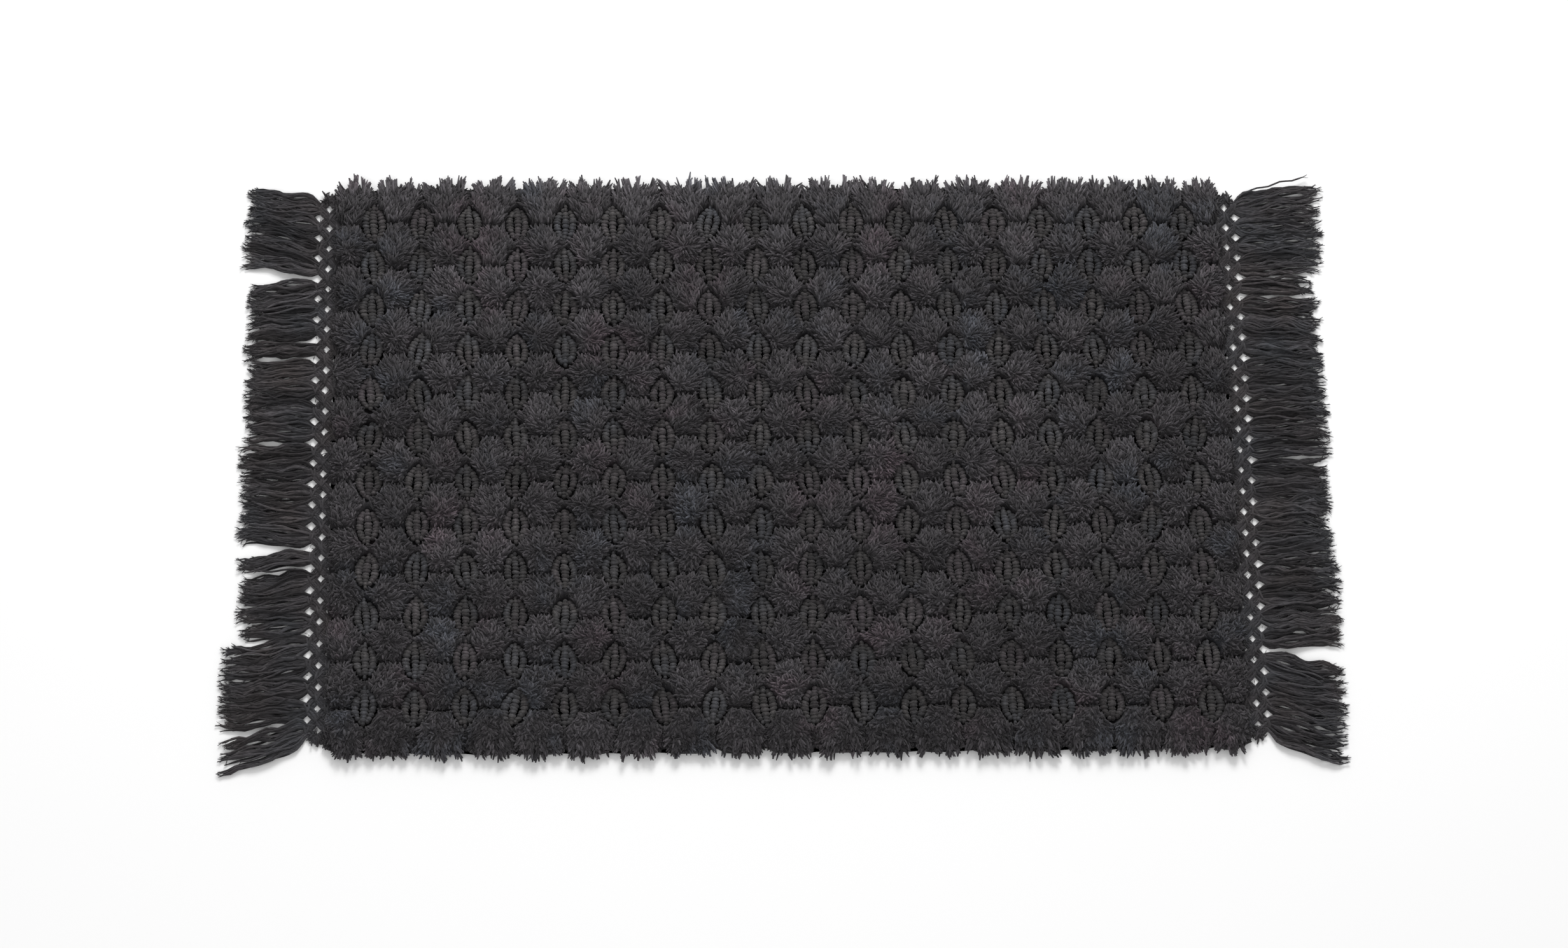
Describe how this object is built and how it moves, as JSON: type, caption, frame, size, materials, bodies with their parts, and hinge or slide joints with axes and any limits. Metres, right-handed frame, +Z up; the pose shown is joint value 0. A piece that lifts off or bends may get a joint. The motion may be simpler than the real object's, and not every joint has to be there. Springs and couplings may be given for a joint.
{
  "type": "bath mat",
  "caption": "Hand-woven cotton bath mat with rows of cut pile tufts, raised rib motifs between them, and a knotted net with tassels along both short ends.",
  "frame": {"origin": "on the floor plane, under the middle of the mat", "axes": "+X along the warp from the left fringe to the right fringe, +Y across the mat from its near long edge to its far one, +Z up out of the pile"},
  "size_m": [1.0692, 0.604, 0.0153],
  "materials": {
    "ground_weave": "charcoal dyed cotton, plain woven ground",
    "rib_weave": "charcoal dyed cotton, raised weft ribs",
    "cut_pile": "charcoal dyed cotton, cut pile with faint plum and blue-grey patches",
    "knotted_warp": "charcoal dyed cotton, knotted warp cords",
    "tassel_yarn": "charcoal dyed cotton, loosely twisted warp yarns"
  },
  "bodies": {
    "root": {"ground_cloth": "ground_weave", "rib_row_01": "rib_weave", "rib_row_02": "rib_weave", "rib_row_03": "rib_weave", "rib_row_04": "rib_weave", "rib_row_05": "rib_weave", "rib_row_06": "rib_weave", "rib_row_07": "rib_weave", "rib_row_08": "rib_weave", "rib_row_09": "rib_weave", "rib_row_10": "rib_weave", "rib_row_11": "rib_weave", "rib_row_12": "rib_weave", "pile_row_01": "cut_pile", "pile_row_02": "cut_pile", "pile_row_03": "cut_pile", "pile_row_04": "cut_pile", "pile_row_05": "cut_pile", "pile_row_06": "cut_pile", "pile_row_07": "cut_pile", "pile_row_08": "cut_pile", "pile_row_09": "cut_pile", "pile_row_10": "cut_pile", "pile_row_11": "cut_pile", "pile_row_12": "cut_pile", "pile_row_13": "cut_pile", "left_end_net": "knotted_warp", "right_end_net": "knotted_warp", "left_tassel_pair_01": "tassel_yarn", "left_tassel_pair_02": "tassel_yarn", "left_tassel_pair_03": "tassel_yarn", "left_tassel_pair_04": "tassel_yarn", "left_tassel_pair_05": "tassel_yarn", "left_tassel_pair_06": "tassel_yarn", "left_tassel_pair_07": "tassel_yarn", "left_tassel_pair_08": "tassel_yarn", "left_tassel_pair_09": "tassel_yarn", "left_tassel_pair_10": "tassel_yarn", "left_tassel_pair_11": "tassel_yarn", "left_tassel_pair_12": "tassel_yarn", "left_tassel_pair_13": "tassel_yarn", "right_tassel_pair_01": "tassel_yarn", "right_tassel_pair_02": "tassel_yarn", "right_tassel_pair_03": "tassel_yarn", "right_tassel_pair_04": "tassel_yarn", "right_tassel_pair_05": "tassel_yarn", "right_tassel_pair_06": "tassel_yarn", "right_tassel_pair_07": "tassel_yarn", "right_tassel_pair_08": "tassel_yarn", "right_tassel_pair_09": "tassel_yarn", "right_tassel_pair_10": "tassel_yarn", "right_tassel_pair_11": "tassel_yarn", "right_tassel_pair_12": "tassel_yarn", "right_tassel_pair_13": "tassel_yarn"}
  },
  "joints": []
}
